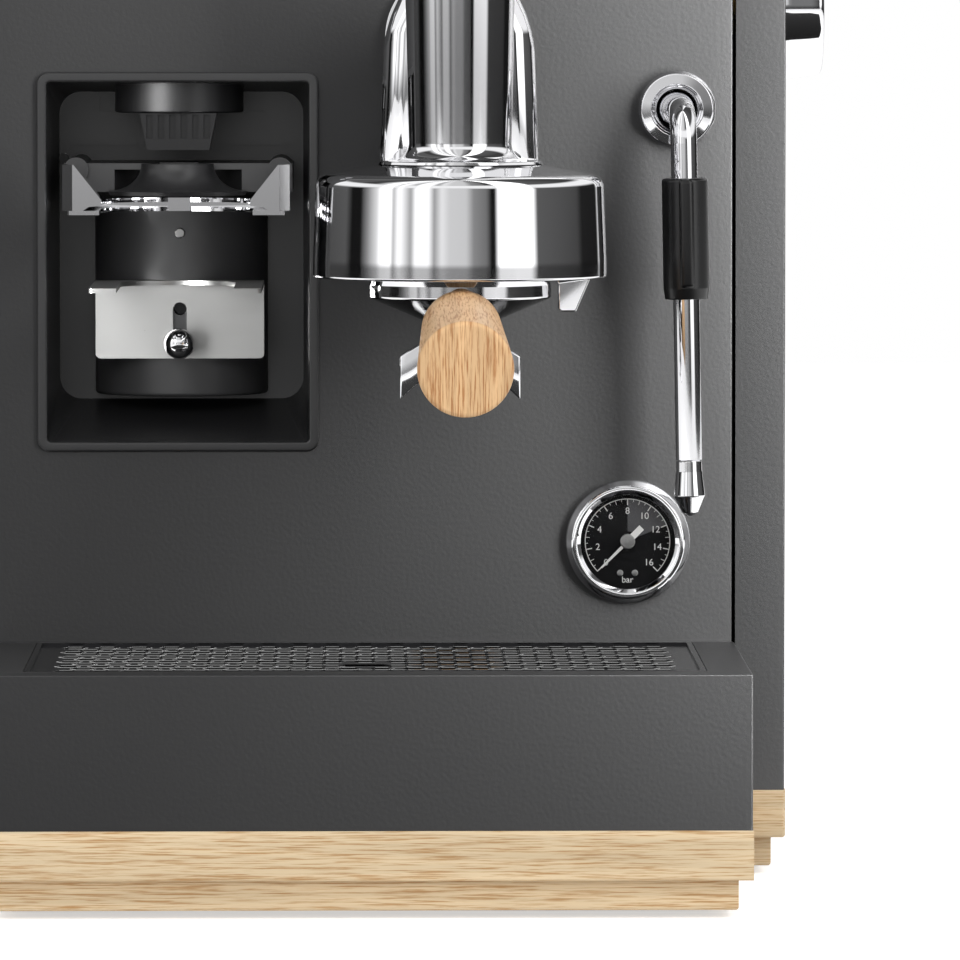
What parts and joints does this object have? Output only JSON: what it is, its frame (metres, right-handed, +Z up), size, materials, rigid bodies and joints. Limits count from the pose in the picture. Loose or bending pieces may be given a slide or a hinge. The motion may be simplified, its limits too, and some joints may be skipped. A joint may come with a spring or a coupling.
{
  "type": "espresso_machine",
  "caption": "Espresso machine with built-in grinder bay, chrome group and bell, steam wand, pressure gauge, drip tray and a wooden base",
  "frame": {"origin": "On the counter, on the face of the foot under the middle of the wooden base.", "axes": "+Z up, +X to the right of a user facing the machine, +Y towards the rear."},
  "size_m": [0.3576, 0.5206, 0.4185],
  "materials": {
    "oak_wood": "oiled, fine open grain",
    "graphite_paint": "fine textured powder coat",
    "chrome": "polished",
    "satin_steel": "satin",
    "black_plastic": "satin black",
    "motor_paint": "satin",
    "dial_paint": "matt black print ground",
    "needle_white": "matt white",
    "rubber": "soft black",
    "gauge_pane": "clear",
    "brass": "machined",
    "smoked_plastic": "tinted, clear"
  },
  "bodies": {
    "machine": {"base_lower": "oak_wood", "base_upper": "oak_wood", "bay_liner": "black_plastic", "bay_sensor": "black_plastic", "boiler": "satin_steel", "boiler_stand": "satin_steel", "burr_housing": "black_plastic", "button_block": "black_plastic", "chassis": "satin_steel", "chute": "black_plastic", "chute_hood": "black_plastic", "dosing_funnel": "black_plastic", "feet": "rubber", "front_panel": "graphite_paint", "gauge_bezel": "chrome", "gauge_case": "black_plastic", "gauge_dial": "dial_paint", "gauge_glass": "gauge_pane", "grinder_column": "black_plastic", "grinder_motor": "motor_paint", "group_bell": "chrome", "group_core": "brass", "group_gasket": "rubber", "group_neck": "chrome", "guide_fork": "chrome", "hopper": "smoked_plastic", "left_panel": "graphite_paint", "lock_ring": "chrome", "lock_stop": "chrome", "power_inlet": "black_plastic", "pump": "black_plastic", "rear_panel": "graphite_paint", "right_panel": "graphite_paint", "shower_screen": "satin_steel", "steam_valve": "brass", "top_panel": "graphite_paint", "wand_flange": "chrome"},
    "tray": {"drip_tray": "graphite_paint"},
    "grate": {"drip_grate": "satin_steel"},
    "portafilter": {"portafilter_body": "chrome", "filter_basket": "satin_steel", "handle": "oak_wood", "twin_spout": "chrome"},
    "wand_ball": {"wand_seat": "black_plastic"},
    "wand": {"wand_tube": "chrome", "wand_grip": "rubber", "wand_tip": "chrome"},
    "steam_control": {"steam_knob": "chrome", "valve_spindle": "satin_steel"},
    "rest": {"rest_fork": "satin_steel"},
    "clamp": {"clamp_knob": "chrome"},
    "pin": {"grind_pin": "satin_steel"},
    "needle": {"gauge_needle": "needle_white"},
    "bean_lid": {"hopper_lid": "smoked_plastic"},
    "tank": {"water_tank": "smoked_plastic"},
    "tank_cover": {"tank_lid": "smoked_plastic"},
    "brew": {"brew_button": "chrome"},
    "hot_water": {"water_button": "chrome"},
    "rocker": {"switch_rocker": "black_plastic"},
    "burr": {"cone_burr": "satin_steel"}
  },
  "joints": [
    {"name": "tray_slide", "type": "slide", "parent": "machine", "child": "tray", "axis": [0, -1, 0], "range_m": [0, 0.15]},
    {"name": "grate_lift", "type": "slide", "parent": "tray", "child": "grate", "axis": [0, 0, 1], "range_m": [0, 0.012]},
    {"name": "portafilter_turn", "type": "hinge", "parent": "machine", "child": "portafilter", "pos_m": [0.0374, -0.1406, 0.2435], "axis": [0, 0, 1], "range_deg": [-50, 0]},
    {"name": "wand_swing", "type": "hinge", "parent": "machine", "child": "wand_ball", "pos_m": [0.1255, -0.0616, 0.3092], "axis": [0, -1, 0], "range_deg": [-20, 50]},
    {"name": "wand_tilt", "type": "hinge", "parent": "wand_ball", "child": "wand", "pos_m": [0.1255, -0.0616, 0.3092], "axis": [-1, 0, 0], "range_deg": [-2, 8]},
    {"name": "steam_knob_turn", "type": "hinge", "parent": "machine", "child": "steam_control", "pos_m": [0.175, 0.0094, 0.3505], "axis": [1, 0, 0], "range_deg": [0, 270]},
    {"name": "rest_slide", "type": "slide", "parent": "machine", "child": "rest", "axis": [0, 0, -1], "range_m": [0, 0.0125]},
    {"name": "clamp_turn", "type": "hinge", "parent": "machine", "child": "clamp", "pos_m": [-0.0749, -0.03, 0.2141], "axis": [0, 1, 0], "range_deg": [0, 180]},
    {"name": "grind_pin_press", "type": "slide", "parent": "machine", "child": "pin", "axis": [0, 1, 0], "range_m": [0, 0.0015], "stiffness_N_per_m": 600},
    {"name": "needle_turn", "type": "hinge", "parent": "machine", "child": "needle", "pos_m": [0.106, -0.0626, 0.1353], "axis": [0, 1, 0], "range_deg": [0, 270], "stiffness_Nm_per_rad": 0.0004},
    {"name": "hopper_lid_lift", "type": "slide", "parent": "machine", "child": "bean_lid", "axis": [0, 0, 1], "range_m": [0, 0.06]},
    {"name": "tank_lift", "type": "slide", "parent": "machine", "child": "tank", "axis": [0, 0, 1], "range_m": [0, 0.2]},
    {"name": "tank_lid_hinge", "type": "hinge", "parent": "tank", "child": "tank_cover", "pos_m": [0.07, 0.2054, 0.405], "axis": [-1, 0, 0], "range_deg": [0, 90]},
    {"name": "brew_press", "type": "slide", "parent": "machine", "child": "brew", "axis": [0, 1, 0], "range_m": [0, 0.002], "stiffness_N_per_m": 700},
    {"name": "water_press", "type": "slide", "parent": "machine", "child": "hot_water", "axis": [0, 1, 0], "range_m": [0, 0.002], "stiffness_N_per_m": 700},
    {"name": "switch_tip", "type": "hinge", "parent": "machine", "child": "rocker", "pos_m": [-0.084, 0.213, 0.085], "axis": [1, 0, 0], "range_deg": [0, 20]},
    {"name": "burr_spin", "type": "hinge", "parent": "machine", "child": "burr", "pos_m": [-0.0749, 0.0014, 0.3495], "axis": [0, 0, 1], "continuous": true}
  ]
}
